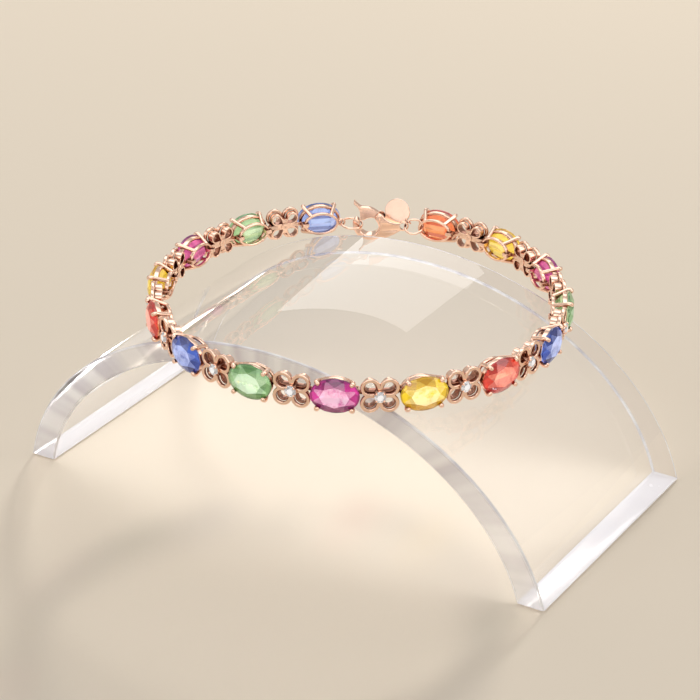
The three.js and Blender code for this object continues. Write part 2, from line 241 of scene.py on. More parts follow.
def plateMesh(loops, low, high, edge, roundness=3):
    # flat closed outlines filled, thickened and given rounded edges
    curve = bpy.data.curves.new("outline", "CURVE")
    curve.dimensions = "2D"
    curve.fill_mode = "BOTH"
    curve.extrude = (high - low) / 2 - edge
    curve.bevel_depth = edge
    curve.bevel_resolution = roundness
    curve.offset = -edge
    for loop in loops:
        spline = curve.splines.new("POLY")
        spline.points.add(len(loop) - 1)
        for point, (x, y) in zip(spline.points, [tuple(p)[:2] for p in loop]):
            point.co = (x, y, 0, 1)
        spline.use_cyclic_u = True
    holder = newObject("outline", curve)
    graph = bpy.context.evaluated_depsgraph_get()
    mesh = bpy.data.meshes.new_from_object(holder.evaluated_get(graph))
    bpy.data.objects.remove(holder)
    bpy.data.curves.remove(curve)
    bm = bmesh.new()
    bm.from_mesh(mesh)
    bmesh.ops.translate(bm, verts=bm.verts, vec=(0, 0, (low + high) / 2))
    bpy.data.meshes.remove(mesh)
    return meshFrom(bm)


def combine(meshes, cutters=()):
    # one closed solid from overlapping ones, less the cutters
    holder = newObject("whole", meshes[0])
    helpers = []
    jobs = [("UNION", m) for m in meshes[1:]] + [("DIFFERENCE", m) for m in cutters]
    for operation, mesh in jobs:
        helper = newObject("helper", mesh)
        helpers.append(helper)
        step = holder.modifiers.new("step", "BOOLEAN")
        step.operation = operation
        step.object = helper
        step.solver = "MANIFOLD"
    graph = bpy.context.evaluated_depsgraph_get()
    mesh = bpy.data.meshes.new_from_object(holder.evaluated_get(graph))
    for item in [holder, *helpers]:
        bpy.data.objects.remove(item)
    return mesh


def moved(mesh, matrix):
    copy = mesh.copy()
    copy.transform(matrix)
    return copy


def turnedCopies(mesh, turns):
    return [moved(mesh, Matrix.Rotation(math.radians(turn), 4, "Z")) for turn in turns]


def softShade(mesh, degrees):
    for face in mesh.polygons:
        face.use_smooth = True
    mesh.set_sharp_from_angle(angle=math.radians(degrees))


def seatPiece(name, mesh, matrix, materials, nodes, body=braceletBody, shade=38):
    # turns a mesh in millimetres into a finished piece in the frame
    mesh = moved(mesh, matrix)
    mesh.name = name
    mesh.materials.clear()
    for material in materials:
        mesh.materials.append(material)
    if shade:
        softShade(mesh, shade)
    piece = newObject(name, mesh)
    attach(piece, body)
    if nodes:
        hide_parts(*nodes)
    return piece


ringPlan = {
    "radius": 28.5,  # to the hinge line
    "centre": (1.55, 1.56, 26.5),  # from under the stand's middle
    "tiltX": -1.85,
    "tiltY": 2.1,
    "stoneStep": 23.1,  # degrees from stone to stone
    "firstStone": 134.5,
    "colours": ("blue", "green", "pink", "yellow", "orange"),
    "rounds": 3,
}
stoneCount = len(ringPlan["colours"]) * ringPlan["rounds"]


def onRing(degrees):
    # x along the chain, y up, z outward, in millimetres
    a = math.radians(degrees)
    centre = archFoot + Vector(ringPlan["centre"]) * mm
    tilt = Matrix.Rotation(math.radians(ringPlan["tiltX"]), 4, "X")
    tilt @= Matrix.Rotation(math.radians(ringPlan["tiltY"]), 4, "Y")
    spot = Vector((math.cos(a), math.sin(a), 0)) * ringPlan["radius"] * mm
    turn = Euler((math.pi / 2, 0, a + math.pi / 2), "XYZ").to_matrix().to_4x4()
    return Matrix.Translation(centre) @ tilt @ Matrix.Translation(spot) @ turn @ Matrix.Scale(mm, 4)


def newMaterial(name):
    material = bpy.data.materials.new(name)
    material.use_nodes = True
    material.node_tree.nodes.clear()
    return material, material.node_tree


def addNode(tree, kind, **values):
    node = tree.nodes.new(kind)
    for key, value in values.items():
        if key in node.inputs:
            node.inputs[key].default_value = value
        else:
            setattr(node, key, value)
    return node


def join(source, output, target, socket):
    source.id_data.links.new(source.outputs[output], target.inputs[socket])


def setInputs(node, values):
    for socket, value in values.items():
        node.inputs[socket].default_value = value


def addBlend(tree, **values):
    return addNode(tree, "ShaderNodeMix", data_type="RGBA", **values)


def addMath(tree, operation, **values):
    return addNode(tree, "ShaderNodeMath", operation=operation, **values)


def addMark(tree, name):
    # reads what the mesh says about each face or point
    return addNode(tree, "ShaderNodeAttribute", attribute_name=name)


def showSurface(tree, shader, socket):
    join(shader, socket, addNode(tree, "ShaderNodeOutputMaterial"), "Surface")


def addSpread(tree, low, high, newLow=0.0, newHigh=1.0):
    # carries values from low..high to newLow..newHigh
    node = addNode(tree, "ShaderNodeMapRange")
    setInputs(node, {"From Min": low, "From Max": high, "To Min": newLow, "To Max": newHigh})
    return node


def newGroup(name, inputs, outputs):
    tree = bpy.data.node_groups.new(name, "ShaderNodeTree")
    for label, kind, value in inputs:
        socket = tree.interface.new_socket(label, in_out="INPUT", socket_type=kind)
        socket.default_value = value
    for label, kind in outputs:
        tree.interface.new_socket(label, in_out="OUTPUT", socket_type=kind)
    return tree, tree.nodes.new("NodeGroupInput"), tree.nodes.new("NodeGroupOutput")


def useGroup(tree, group, **values):
    node = tree.nodes.new("ShaderNodeGroup")
    node.node_tree = group
    setInputs(node, values)
    return node


def makePolishMarks():
    # cloudy buffing haze with fine hairlines over it
    tree, given, out = newGroup(
        "polishMarks",
        [("Cloud Size", "NodeSocketFloat", 900.0), ("Line Size", "NodeSocketFloat", 6000.0)],
        [("Haze", "NodeSocketFloat"), ("Lines", "NodeSocketFloat")],
    )
    place = addNode(tree, "ShaderNodeTexCoord")
    cloud = addNode(tree, "ShaderNodeTexNoise", Detail=4.0, Roughness=0.6)
    stretch = addNode(tree, "ShaderNodeMapping")
    setInputs(stretch, {"Scale": (1.0, 0.15, 0.4), "Rotation": (0.4, 0.9, 0.3)})
    lines = addNode(tree, "ShaderNodeTexNoise", Detail=2.0, Roughness=0.5)
    join(place, "Object", cloud, "Vector")
    join(place, "Object", stretch, "Vector")
    join(stretch, "Vector", lines, "Vector")
    join(given, "Cloud Size", cloud, "Scale")
    join(given, "Line Size", lines, "Scale")
    join(cloud, "Fac", out, "Haze")
    join(lines, "Fac", out, "Lines")
    return tree


def makePaintedCreviceShade():
    # 1 in the open, falling to 0 where metal crowds metal: the mask for painted shade in crevices
    tree, given, out = newGroup(
        "paintedCreviceShade",
        [("Reach", "NodeSocketFloat", 0.0009), ("Closed", "NodeSocketFloat", 0.3),
         ("Open", "NodeSocketFloat", 0.9)],
        [("Openness", "NodeSocketFloat")],
    )
    nearby = addNode(tree, "ShaderNodeAmbientOcclusion", samples=8)
    spread = addNode(tree, "ShaderNodeMapRange")
    join(given, "Reach", nearby, "Distance")
    join(nearby, "AO", spread, "Value")
    join(given, "Closed", spread, "From Min")
    join(given, "Open", spread, "From Max")
    join(spread, "Result", out, "Openness")
    return tree


def makeFacetTone():
    # each cut face its own tone between dark and bright, painted light and shade standing in for the stone's
    # flashes, shifted by noise clouds; pale painted light on the table, painted light streaks on the back
    # and a painted glow
    cloudSway = 0.4  # how far the clouds shift a face's tone
    paleFrom, paleTo = 0.78, 0.48  # cloud values where the table's pale patches of painted light begin and are full
    tree, given, out = newGroup(
        "facetTone",
        [("Dark", "NodeSocketColor", (0.1, 0.1, 0.1, 1)), ("Bright", "NodeSocketColor", (1, 1, 1, 1)),
         ("Pale", "NodeSocketColor", (1, 1, 1, 1)), ("Behind", "NodeSocketColor", (1, 1, 1, 1)),
         ("Cloud Size", "NodeSocketFloat", 700.0), ("Inner Light", "NodeSocketFloat", 0.15),
         ("Table Light", "NodeSocketFloat", 0.5)],
        [("Color", "NodeSocketColor"), ("Glow", "NodeSocketColor")],
    )
    tone = addMark(tree, "facetTone")
    place = addNode(tree, "ShaderNodeTexCoord")
    cloud = addNode(tree, "ShaderNodeTexNoise", Detail=3.0, Roughness=0.65)
    sway = addMath(tree, "MULTIPLY_ADD")
    setInputs(sway, {1: cloudSway, 2: -cloudSway / 2})
    total = addMath(tree, "ADD", use_clamp=True)
    blend = addBlend(tree)
    table = addMark(tree, "tableShare")
    patch = addSpread(tree, paleFrom, paleTo)
    window = addMath(tree, "MULTIPLY")
    topping = addBlend(tree)
    back = addMark(tree, "backShare")
    behind = addBlend(tree)
    streak = addMath(tree, "MULTIPLY", use_clamp=True)
    # the glow is painted light: the face's colour scaled, and pale light on the table, sent out as emission
    inner = addNode(tree, "ShaderNodeVectorMath", operation="SCALE")
    paleLight = addNode(tree, "ShaderNodeVectorMath", operation="SCALE")
    glow = addBlend(tree)
    join(place, "Object", cloud, "Vector")
    join(given, "Cloud Size", cloud, "Scale")
    join(tone, "Fac", streak, 0)
    join(back, "Fac", streak, 1)
    join(streak, "Value", behind, "Factor")
    join(given, "Behind", behind, "B")
    join(cloud, "Fac", patch, "Value")
    join(patch, "Result", window, 0)
    join(table, "Fac", window, 1)
    join(window, "Value", topping, "Factor")
    join(cloud, "Fac", sway, 0)
    join(tone, "Fac", total, 0)
    join(sway, "Value", total, 1)
    join(total, "Value", blend, "Factor")
    join(given, "Dark", blend, "A")
    join(given, "Bright", blend, "B")
    join(blend, "Result", behind, "A")
    join(behind, "Result", topping, "A")
    join(given, "Pale", topping, "B")
    join(topping, "Result", out, "Color")
    join(behind, "Result", inner, 0)
    join(given, "Inner Light", inner, "Scale")
    join(given, "Pale", paleLight, 0)
    join(given, "Table Light", paleLight, "Scale")
    join(window, "Value", glow, "Factor")
    join(inner, "Vector", glow, "A")
    join(paleLight, "Vector", glow, "B")
    join(glow, "Result", out, "Glow")
    return tree


polishMarks = makePolishMarks()
paintedCreviceShade = makePaintedCreviceShade()
facetTone = makeFacetTone()

# marks are texture sizes; a spread is the noise taken as no haze and as full haze
goldFinish = {
    "polished": (1.0, 0.69, 0.535, 1),
    "paintedShade": (0.26, 0.075, 0.038, 1),
    "reach": 0.0015,  # how far crowding metal casts painted shade
    "closed": 0.26,
    "open": 0.76,
    "recessLight": 0.46,  # how much of the polished colour the inner walls keep under their painted shade
    "marks": {"Cloud Size": 700.0, "Line Size": 5200.0},
    "spread": (0.35, 0.65),
    "smoothest": 0.10,
    "haziest": 0.22,
    "markHeight": 0.02,
    "markReach": 0.0001,
}


def makeRoseGold(cfg):
    material, tree = newMaterial("roseGold")
    marks = useGroup(tree, polishMarks, **cfg["marks"])
    creviceShade = useGroup(tree, paintedCreviceShade, Reach=cfg["reach"], Closed=cfg["closed"], Open=cfg["open"])
    # the base colour falls from polished towards a painted shade colour in crevices and on the petal
    # openings' inner walls
    colour = addBlend(tree)
    setInputs(colour, {"A": cfg["paintedShade"], "B": cfg["polished"]})
    recess = addMark(tree, "recess")
    depth = addSpread(tree, 0.0, 1.0, 1.0, cfg["recessLight"])
    shade = addMath(tree, "MULTIPLY")
    haze = addSpread(tree, *cfg["spread"], cfg["smoothest"], cfg["haziest"])
    bump = addNode(tree, "ShaderNodeBump", Strength=cfg["markHeight"], Distance=cfg["markReach"])
    surface = addNode(tree, "ShaderNodeBsdfPrincipled", Metallic=1.0)
    join(recess, "Fac", depth, "Value")
    join(depth, "Result", shade, 0)
    join(creviceShade, "Openness", shade, 1)
    join(shade, "Value", colour, "Factor")
    join(colour, "Result", surface, "Base Color")
    join(marks, "Haze", haze, "Value")
    join(haze, "Result", surface, "Roughness")
    join(marks, "Lines", bump, "Height")
    join(bump, "Normal", surface, "Normal")
    showSurface(tree, surface, "BSDF")
    return material


def shadeThrough(tree, surface, tint):
    # lets light rays pass a clear piece, so what lies behind it isn't blacked out
    ray = addNode(tree, "ShaderNodeLightPath")
    clear = addNode(tree, "ShaderNodeBsdfTransparent", Color=tint)
    mix = addNode(tree, "ShaderNodeMixShader")
    join(ray, "Is Shadow Ray", mix, 0)
    join(surface, "BSDF", mix, 1)
    join(clear, "BSDF", mix, 2)
    showSurface(tree, mix, "Shader")


gemFinish = {
    "ior": 1.77,
    "clear": 0.68,  # share of the light that goes through
    "innerLight": 0.25,  # light a stone gathers and sends back, as a share of its own colour
    "tableLight": 0.46,
    "marks": {"Cloud Size": 400.0, "Line Size": 4000.0},
    "haziest": 0.05,
    # each colour's dark and bright facet tones, pale table and lit back are painted light and shade over the
    # stone's own colour
    "blue": {
        "dark": (0.006, 0.012, 0.09, 1),
        "bright": (0.035, 0.11, 0.58, 1),
        "pale": (0.46, 0.54, 0.84, 1),
        "behind": (0.60, 0.74, 1.0, 1),
    },
    "green": {
        "dark": (0.07, 0.18, 0.06, 1),
        "bright": (0.36, 0.60, 0.32, 1),
        "pale": (0.66, 0.80, 0.66, 1),
        "behind": (0.52, 0.66, 0.34, 1),
    },
    "pink": {
        "dark": (0.09, 0.003, 0.07, 1),
        "bright": (0.72, 0.025, 0.40, 1),
        "pale": (0.84, 0.69, 0.79, 1),
        "behind": (0.80, 0.16, 0.36, 1),
    },
    "yellow": {
        "dark": (0.36, 0.20, 0.003, 1),
        "bright": (1.0, 0.82, 0.015, 1),
        "pale": (0.96, 0.88, 0.56, 1),
        "behind": (0.80, 0.60, 0.12, 1),
    },
    "orange": {
        "dark": (0.22, 0.005, 0.008, 1),
        "bright": (0.88, 0.05, 0.035, 1),
        "pale": (0.88, 0.36, 0.30, 1),
        "behind": (0.85, 0.46, 0.16, 1),
    },
}


def addCutSurface(tree, tones, cfg):
    light = {"Inner Light": cfg["innerLight"], "Table Light": cfg["tableLight"]}
    tone = useGroup(tree, facetTone, Dark=tones["dark"], Bright=tones["bright"], Pale=tones["pale"],
                    Behind=tones["behind"], **light)
    surface = addNode(tree, "ShaderNodeBsdfPrincipled", IOR=cfg["ior"])
    setInputs(surface, {"Transmission Weight": cfg["clear"], "Emission Strength": 1.0})
    join(tone, "Color", surface, "Base Color")
    # the glow is painted light: emission standing in for light the stone sends back
    join(tone, "Glow", surface, "Emission Color")
    return surface


def makeGem(colour, cfg):
    material, tree = newMaterial("gem" + colour.capitalize())
    surface = addCutSurface(tree, cfg[colour], cfg)
    marks = useGroup(tree, polishMarks, **cfg["marks"])
    haze = addMath(tree, "MULTIPLY")
    haze.inputs[1].default_value = cfg["haziest"]
    join(marks, "Haze", haze, 0)
    join(haze, "Value", surface, "Roughness")
    shadeThrough(tree, surface, cfg[colour]["bright"])
    return material


# the white stone's facet tones, pale table, lit back and glow are painted light and shade, as in the
# coloured stones
whiteFinish = {
    "dark": (0.20, 0.20, 0.22, 1),
    "bright": (0.98, 0.98, 1.0, 1),
    "pale": (0.92, 0.93, 0.96, 1),
    "behind": (0.9, 0.85, 0.8, 1),
    "innerLight": 0.32,
    "tableLight": 0.4,
    "ior": 2.3,
    "clear": 0.2,
    "haze": 0.03,
}


def makeWhiteStone(cfg):
    material, tree = newMaterial("whiteStone")
    surface = addCutSurface(tree, cfg, cfg)
    surface.inputs["Roughness"].default_value = cfg["haze"]
    shadeThrough(tree, surface, cfg["bright"])
    return material


sheetFinish = {
    "clear": (0.985, 0.988, 1.0, 1),
    "dullPatch": (0.66, 0.64, 0.70, 1),
    "brightPatch": (0.97, 0.97, 1.0, 1),
    "bend": 1.006,  # a thin bent sheet hardly shifts what lies behind it
    "gloss": 1.49,
    "marks": {"Cloud Size": 60.0, "Line Size": 900.0},
    "spread": (0.45, 0.8),
    "smear": 0.04,
    "shadow": (0.88, 0.87, 0.86, 1),
    "within": (0.95, 0.94, 0.95, 1),  # a sawn face seen from inside the sheet
    "edgeShadow": (0.42, 0.38, 0.35, 1),  # little light gets through the sheet edge on
    "patchCount": 6.5,
    "edgeBend": 1.3,
    "edgeMarks": {"Cloud Size": 160.0, "Line Size": 1500.0},
    "edgeSpread": (0.3, 0.7),
    "edgeSmoothest": 0.1,
    "edgeHaziest": 0.3,
    "edgeGlossHaze": 0.05,
    "sawnClear": 0.55,  # share of the light that goes through a sawn edge, and through a foot
    "footClear": 0.15,
}


def makeClearSheet(cfg):
    material, tree = newMaterial("clearSheet")
    marks = useGroup(tree, polishMarks, **cfg["marks"])
    haze = addSpread(tree, *cfg["spread"], 0.0, cfg["smear"])
    surface = addNode(tree, "ShaderNodeBsdfPrincipled", IOR=cfg["bend"])
    setInputs(surface, {"Base Color": cfg["clear"], "Transmission Weight": 1.0, "Coat Weight": 1.0,
                        "Coat IOR": cfg["gloss"], "Coat Roughness": 0.0})
    join(marks, "Haze", haze, "Value")
    join(haze, "Result", surface, "Roughness")
    shadeThrough(tree, surface, cfg["shadow"])
    return material


def makeLightPipe():
    # patches of light that travel inside the sheet and show along its sawn edge
    dullAt, brightAt = 0.36, 0.60  # noise values where a patch is wholly dull and wholly bright
    tree, given, out = newGroup(
        "lightPipe",
        [("Patch Count", "NodeSocketFloat", 7.0), ("Dull", "NodeSocketColor", (0.5, 0.5, 0.6, 1)),
         ("Bright", "NodeSocketColor", (1, 1, 1, 1))],
        [("Color", "NodeSocketColor")],
    )
    along = addMark(tree, "alongSheet")
    patches = addNode(tree, "ShaderNodeTexNoise", noise_dimensions="1D", Detail=2.0, Roughness=0.5)
    contrast = addSpread(tree, dullAt, brightAt)
    blend = addBlend(tree)
    join(along, "Fac", patches, "W")
    join(given, "Patch Count", patches, "Scale")
    join(patches, "Fac", contrast, "Value")
    join(contrast, "Result", blend, "Factor")
    join(given, "Dull", blend, "A")
    join(given, "Bright", blend, "B")
    join(blend, "Result", out, "Color")
    return tree


lightPipe = makeLightPipe()


def makeSawnFace(name, cfg, clear, seenFromWithin):
    # sawn and flame polished: light from inside the sheet leaves here
    material, tree = newMaterial(name)
    pipe = useGroup(tree, lightPipe, Dull=cfg["dullPatch"], Bright=cfg["brightPatch"],
                    **{"Patch Count": cfg["patchCount"]})
    marks = useGroup(tree, polishMarks, **cfg["edgeMarks"])
    haze = addSpread(tree, *cfg["edgeSpread"], cfg["edgeSmoothest"], cfg["edgeHaziest"])
    surface = addNode(tree, "ShaderNodeBsdfPrincipled", IOR=cfg["edgeBend"])
    setInputs(surface, {"Transmission Weight": clear, "Coat Weight": 1.0, "Coat IOR": cfg["gloss"],
                        "Coat Roughness": cfg["edgeGlossHaze"]})
    side = addNode(tree, "ShaderNodeNewGeometry")
    ray = addNode(tree, "ShaderNodeLightPath")
    tint = addBlend(tree)
    setInputs(tint, {"A": cfg["within"], "B": cfg["edgeShadow"]})
    through = addNode(tree, "ShaderNodeBsdfTransparent")
    mix = addNode(tree, "ShaderNodeMixShader")
    either = addMath(tree, "MAXIMUM")
    join(pipe, "Color", surface, "Base Color")
    join(marks, "Haze", haze, "Value")
    join(haze, "Result", surface, "Roughness")
    join(ray, "Is Shadow Ray", tint, "Factor")
    join(tint, "Result", through, "Color")
    join(ray, "Is Shadow Ray", either, 0)
    either.inputs[1].default_value = 0.0
    if not seenFromWithin:
        join(side, "Backfacing", either, 1)
    join(either, "Value", mix, 0)
    join(surface, "BSDF", mix, 1)
    join(through, "BSDF", mix, 2)
    showSurface(tree, mix, "Shader")
    return material


roseGold = makeRoseGold(goldFinish)
gems = {colour: makeGem(colour, gemFinish) for colour in ringPlan["colours"]}
whiteStone = makeWhiteStone(whiteFinish)
clearSheet = makeClearSheet(sheetFinish)
cutEdge = makeSawnFace("cutEdge", sheetFinish, sheetFinish["sawnClear"], False)
footFace = makeSawnFace("footFace", sheetFinish, sheetFinish["footClear"], True)
print("finishes made")

# stones are cut one face at a time from a round blank
stoneBlank = {"sides": 96, "depth": 9}
facetPlan = {"mains": 8, "starFall": 0.72, "girdleFall": 1.28}  # falls as shares of the main facets' own
backLean = -0.05  # faces that lean down more than this are on the back
ovalStone = {
    "seed": 11,
    "halfLength": 3.27,
    "halfHeight": 2.47,
    "table": 0.60,  # share of the stone's width
    "tableLevel": 1.5,
    "girdleTop": 0.86,
    "girdleLow": 0.76,
    # where each row of steps begins, its fall and its faces; rows of two meet in a keel
    "backSteps": ((1.0, 3.6, 12), (0.86, 2.3, 2), (0.55, 1.6, 2), (0.25, 1.2, 2)),
    "tones": (0.15, 1.0),
    "stripes": 5.0,
    "stripeStart": 1.2,
    "bow": 0.8,
}
roundStone = {
    "seed": 5,
    "halfLength": 0.8,
    "halfHeight": 0.8,
    "table": 0.56,
    "tableLevel": 1.25,
    "girdleTop": 0.99,
    "girdleLow": 0.96,
    "backSteps": ((1.0, 0.8, 12), (0.5, 0.5, 12)),
    "tones": (0.0, 1.0),
    "stripes": 5.0,
    "stripeStart": 1.2,
    "bow": 0.0,
}


def stoneCuts(cfg):
    # rows of direction in degrees, fall per unit of radius, radius and level that the face passes
    table, top, low = cfg["table"], cfg["girdleTop"], cfg["girdleLow"]
    mains = facetPlan["mains"]
    turn = 360 / mains
    crownFall = (cfg["tableLevel"] - top) / (1 - table)
    starRadius = table * math.cos(math.pi / mains)
    rows = [(0, 0.0, 0, cfg["tableLevel"], 1)]
    for i in range(mains):
        rows.append((i * turn, crownFall, 1, top, 1))
        rows.append(((i + 0.5) * turn, crownFall * facetPlan["starFall"], starRadius, cfg["tableLevel"], 1))
    for i in range(2 * mains):
        rows.append(((i + 0.5) * turn / 2, crownFall * facetPlan["girdleFall"], 1, top, 1))
    level, before = low, None
    for start, fall, faces in cfg["backSteps"]:
        if before:
            level -= (before[0] - start) * before[1]
        for i in range(faces):
            rows.append(((i + 0.5) * 360 / faces, fall, start, level, -1))
        before = (start, fall)
    return rows


def cutStone(cfg):
    bm = bmesh.new()
    bmesh.ops.create_cone(bm, cap_ends=True, segments=stoneBlank["sides"], radius1=1, radius2=1,
                          depth=stoneBlank["depth"])
    for degrees, fall, radius, level, side in stoneCuts(cfg):
        a = math.radians(degrees)
        normal = Vector((fall * math.cos(a), fall * math.sin(a), side)).normalized()
        spot = Vector((radius * math.cos(a), radius * math.sin(a), level))
        everything = bm.verts[:] + bm.edges[:] + bm.faces[:]
        bmesh.ops.bisect_plane(bm, geom=everything, plane_co=spot, plane_no=normal,
                               clear_outer=True, dist=1e-6)
        rim = [edge for edge in bm.edges if edge.is_boundary]
        bmesh.ops.holes_fill(bm, edges=rim, sides=0)
    bmesh.ops.scale(bm, verts=bm.verts, vec=(cfg["halfLength"], cfg["halfHeight"], 1))
    bmesh.ops.dissolve_degenerate(bm, edges=bm.edges, dist=1e-4)
    mesh = meshFrom(bm)
    draw = random.Random(cfg["seed"])
    # each face's tone is painted light: bright and dark flashes, a darker bow across the waist and light and
    # dark streaks on the back
    low, high = cfg["tones"]
    tones = mesh.attributes.new("facetTone", "FLOAT", "FACE")
    tables = mesh.attributes.new("tableShare", "FLOAT", "FACE")
    backs = mesh.attributes.new("backShare", "FLOAT", "FACE")
    for face in mesh.polygons:
        onBack = face.normal.z < backLean
        backs.data[face.index].value = 1.0 if onBack else 0.0
        tables.data[face.index].value = max(0.0, face.normal.z * 10 - 9)  # only the table faces straight out
        bow = abs(face.normal.y) / max(math.hypot(face.normal.x, face.normal.y), 0.01)
        tone = draw.uniform(low, high) - cfg["bow"] * bow ** 4  # painted bow-tie shade, darker across the waist
        if onBack:
            stripe = math.sin(cfg["stripes"] * face.center.z + cfg["stripeStart"])
            tone = 0.5 + 0.5 * stripe  # painted light and dark streaks on the back steps in turn
        tones.data[face.index].value = tone
    return mesh


# settings have two rails and four claws
setting = {
    "base": {"halfLength": 2.62, "halfHeight": 1.76, "low": -1.65, "high": -1.1, "wall": 0.36},
    "seat": {"halfLength": 3.12, "halfHeight": 2.36, "low": -0.1, "high": 0.6, "wall": 0.42},
    "rounding": (0.16, 0.11),  # base, seat
    "seatLip": 0.16,  # the seat's top is this wide, and slopes in below the stone
    "clawAngle": 39.6,
    "clawRadius": 0.30,
    "tipRadius": 0.32,
    # distance from the middle and level, foot to tip
    "clawPath": [(1.98, -1.38), (2.12, -1.1), (2.43, -0.5), (2.74, 0.05), (2.99, 0.5), (3.13, 0.82),
                 (3.13, 1.0), (3.03, 1.12), (2.88, 1.15)],
    "endEye": {"radius": 0.46, "wire": 0.15, "beyondRail": 0.49},  # on the first setting only
}


def makeSettingMesh(cfg):
    base, seat = cfg["base"], cfg["seat"]
    sections = [
        rectangle(-base["wall"], base["low"], 0, base["high"]),
        [(-seat["wall"], seat["low"]), (0, seat["low"]), (0, seat["high"]), (-cfg["seatLip"], seat["high"])],
    ]
    solids = []
    for rail, section, rounding in zip((base, seat), sections, cfg["rounding"]):
        solids.append(ovalRailMesh(rail["halfLength"], rail["halfHeight"], roundCorners(section, rounding)))
    path = [Vector((r, 0, z)) for r, z in cfg["clawPath"]]
    radii = [cfg["clawRadius"]] * (len(path) - 2) + [cfg["tipRadius"]] * 2
    claw = wireMesh(path, radii, sides=14)
    angle = cfg["clawAngle"]
    return combine(solids + turnedCopies(claw, (angle, 180 - angle, 180 + angle, -angle)))


def makeEndEye(cfg):
    eye, base = cfg["endEye"], cfg["base"]
    ring = ringMesh(circle(eye["radius"], 32), eye["wire"])
    middle = (-base["halfLength"] - eye["beyondRail"], 0, (base["low"] + base["high"]) / 2)
    return moved(ring, Matrix.Translation(middle))


# flower links have petals in two layers, a collet, beads and hinge eyes
flower = {
    "petalRadius": 1.32,
    "petalX": 1.26,
    "petalY": 1.11,
    "petalWall": 0.47,
    "tipX": 0.16,
    "tipY": 0.34,
    # low, high, outline drawn in, openings drawn in, rounding
    "layers": {
        "face": (0.12, 0.62, 0.0, 0.0, 0.13),
        "gallery": (-0.95, 0.08, 0.44, 0.23, 0.08),
    },
    "arcSteps": 18,
    # radius, level
    "collet": ((0.1, -1.05), (0.62, -1.05), (0.62, -0.2), (0.84, 0.75), (0.84, 1.0), (0.72, 1.0),
               (0.1, 0.45)),
    "colletRounding": 0.06,
    "core": {"radius": 0.22, "low": -0.82, "high": 0.4},
    "bore": 0.40,
    "boreFloor": -0.75,
    "beadOut": 0.74,
    "beadPath": ((0.0, 0.6, 0.13), (0.03, 0.9, 0.16), (-0.01, 1.12, 0.16)),  # beyond beadOut, level, radius
    "recess": {"lean": 0.75, "top": 0.5, "ledge": 0.1},  # what counts as inside a petal's opening, which gets painted shade
}
hingeEye = {
    "clearance": 0.13,
    "wall": 0.24,
    "height": 0.56,
    "webOverlap": 0.3,
    "webLow": -0.95,
    "webHigh": -0.6,
    "eyeEdge": 0.07,
    "webEdge": 0.06,
    "outerRounding": 0.34,
    "innerRounding": 0.16,
    "webRounding": 0.04,
}
corners = ((1, 1), (-1, 1), (-1, -1), (1, -1))


def petalLoops(cfg, drawIn, closeIn):
    # the four petals' outline drawn in, and their openings closed in
    radius = cfg["petalRadius"] - drawIn
    x, y, steps = cfg["petalX"], cfg["petalY"], cfg["arcSteps"]
    side = math.atan2(-y, math.sqrt(max(radius ** 2 - y ** 2, 0)))
    top = math.pi - math.atan2(math.sqrt(max(radius ** 2 - x ** 2, 0)), x)
    outline = []
    for signX, signY in corners:
        for step in range(steps + 1):
            share = step / steps if signX == signY else 1 - step / steps
            a = side + (top - side) * share
            outline.append((signX * (x + radius * math.cos(a)), signY * (y + radius * math.sin(a))))
    outline = [p for i, p in enumerate(outline) if math.dist(p, outline[i - 1]) > 0.01]
    loops = [outline]
    hole = cfg["petalRadius"] - cfg["petalWall"] - closeIn
    toTip = math.hypot(x - cfg["tipX"], y - cfg["tipY"]) - closeIn
    heading = math.atan2(cfg["tipY"] - y, cfg["tipX"] - x)
    half = math.acos(hole / toTip)
    tip = (x + toTip * math.cos(heading), y + toTip * math.sin(heading))
    for signX, signY in corners:
        ring = [(signX * tip[0], signY * tip[1])]
        for step in range(steps + 1):
            a = heading + half + (2 * math.pi - 2 * half) * step / steps
            ring.append((signX * (x + hole * math.cos(a)), signY * (y + hole * math.sin(a))))
        loops.append(ring)
    return loops


def eyeMeshes(cfg, rail, side):
    # an eye closed round the neighbour's base rail, and the web that carries it
    bend = math.radians(ringPlan["stoneStep"] / 2)
    middle = rail["halfLength"] - rail["wall"] / 2
    level = (rail["low"] + rail["high"]) / 2
    radius = ringPlan["radius"]
    x = radius * math.sin(bend) - middle * math.cos(bend) + level * math.sin(bend)
    z = radius * (math.cos(bend) - 1) + middle * math.sin(bend) + level * math.cos(bend)
    halfX = rail["wall"] / 2 + cfg["clearance"]
    halfZ = (rail["high"] - rail["low"]) / 2 + cfg["clearance"]
    wall, halfHeight = cfg["wall"], cfg["height"] / 2
    outX, outZ = halfX + wall, halfZ + wall
    outer = roundCorners(rectangle(-outX, -outZ, outX, outZ), cfg["outerRounding"], 5)
    inner = roundCorners(rectangle(-halfX, -halfZ, halfX, halfZ), cfg["innerRounding"], 4)
    eye = plateMesh([outer, inner], -halfHeight, halfHeight, cfg["eyeEdge"], 2)
    lean = Matrix.Rotation(bend, 4, "Y") @ Matrix.Rotation(math.pi / 2, 4, "X")
    eye.transform(Matrix.Translation((x, 0, z)) @ lean)
    start, end = flower["petalX"] - cfg["webOverlap"], x - halfX - wall / 2
    webOutline = roundCorners(rectangle(start, -halfHeight, end, halfHeight), cfg["webRounding"], 2)
    web = plateMesh([webOutline], cfg["webLow"], cfg["webHigh"], cfg["webEdge"], 2)
    if side < 0:
        turn = Matrix.Rotation(math.pi, 4, "Z") @ Matrix.Scale(-1, 4, (0, 1, 0))
        return [mirrored(eye, turn), mirrored(web, turn)]
    return [eye, web]


def mirrored(mesh, matrix):
    copy = moved(mesh, matrix)
    copy.flip_normals()
    return copy


